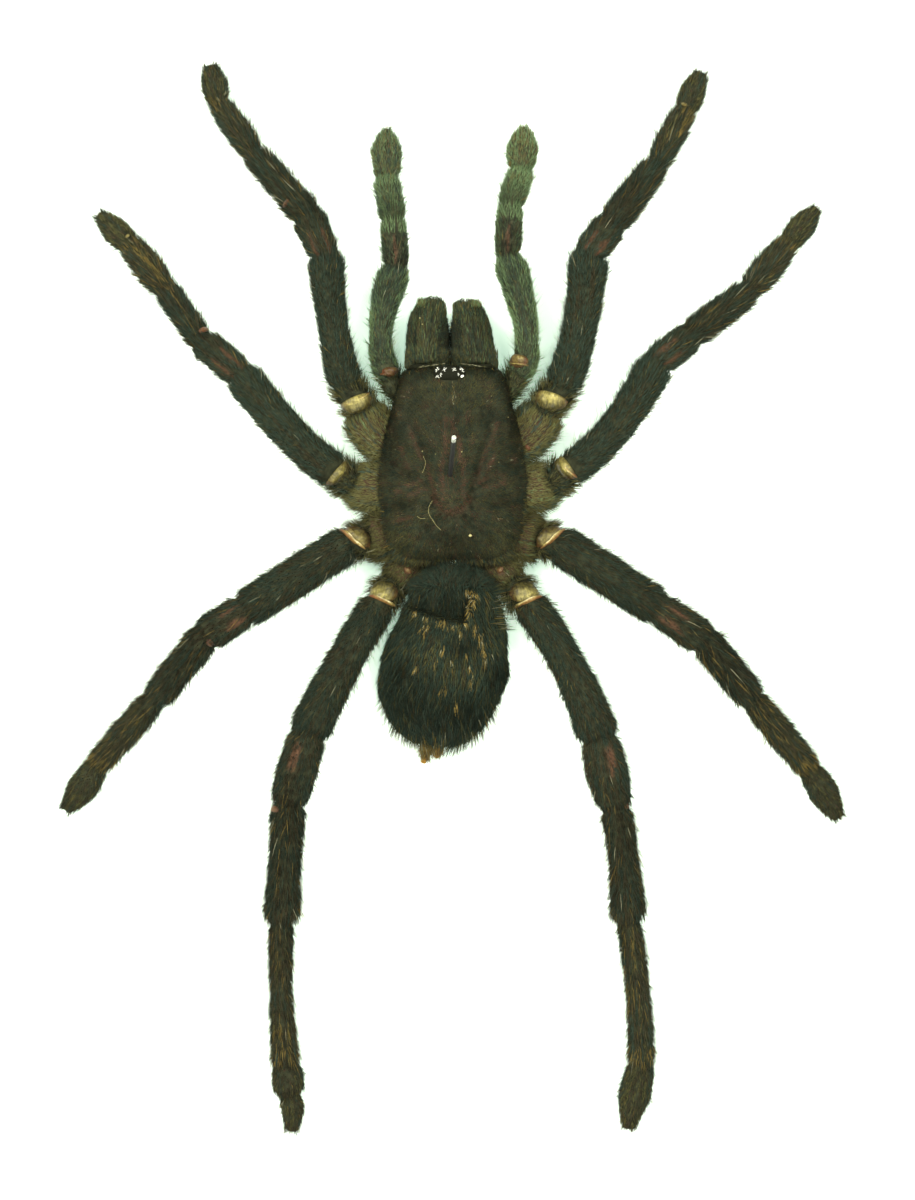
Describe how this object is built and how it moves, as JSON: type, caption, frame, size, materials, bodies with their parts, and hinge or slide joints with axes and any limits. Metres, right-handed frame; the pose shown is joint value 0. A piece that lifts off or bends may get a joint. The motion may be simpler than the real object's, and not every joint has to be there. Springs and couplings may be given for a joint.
{
  "type": "pinned tarantula specimen",
  "caption": "Dried, spread tarantula on a trimmed insect pin, lying on its belly and feet, with furred legs, palps, jaws, carapace, abdomen and spinnerets.",
  "frame": {"origin": "middle of the footprint, on the surface that the specimen rests on", "axes": "+Z out of the spider's back, +Y towards its head and jaws, +X towards its right side"},
  "size_m": [0.1019, 0.139, 0.0173],
  "materials": {
    "velvet": "short velvety hair over a dark brown shell",
    "leg_fur": "dark olive fur lying along the limb, with pale bristles",
    "palp_fur": "sage green fur with pale rings of hair at the joints",
    "jaw_fur": "olive grey fur in lengthwise streaks",
    "abdomen_fur": "blackish green fur with golden brown tufts",
    "fang_horn": "polished black horn",
    "spinneret_tuft": "orange brown tufted hair",
    "pin_enamel": "black enamel, bright steel where clipped"
  },
  "bodies": {
    "root": {"carapace": "velvet", "sternum": "leg_fur", "abdomen": "abdomen_fur", "chelicera_left": "jaw_fur", "chelicera_right": "jaw_fur", "fang_left": "fang_horn", "fang_right": "fang_horn", "palp_left": "palp_fur", "palp_right": "palp_fur", "leg_1_left": "leg_fur", "leg_1_right": "leg_fur", "leg_2_left": "leg_fur", "leg_2_right": "leg_fur", "leg_3_left": "leg_fur", "leg_3_right": "leg_fur", "leg_4_left": "leg_fur", "leg_4_right": "leg_fur", "spinneret_left": "spinneret_tuft", "spinneret_right": "spinneret_tuft", "pin": "pin_enamel"}
  },
  "joints": []
}
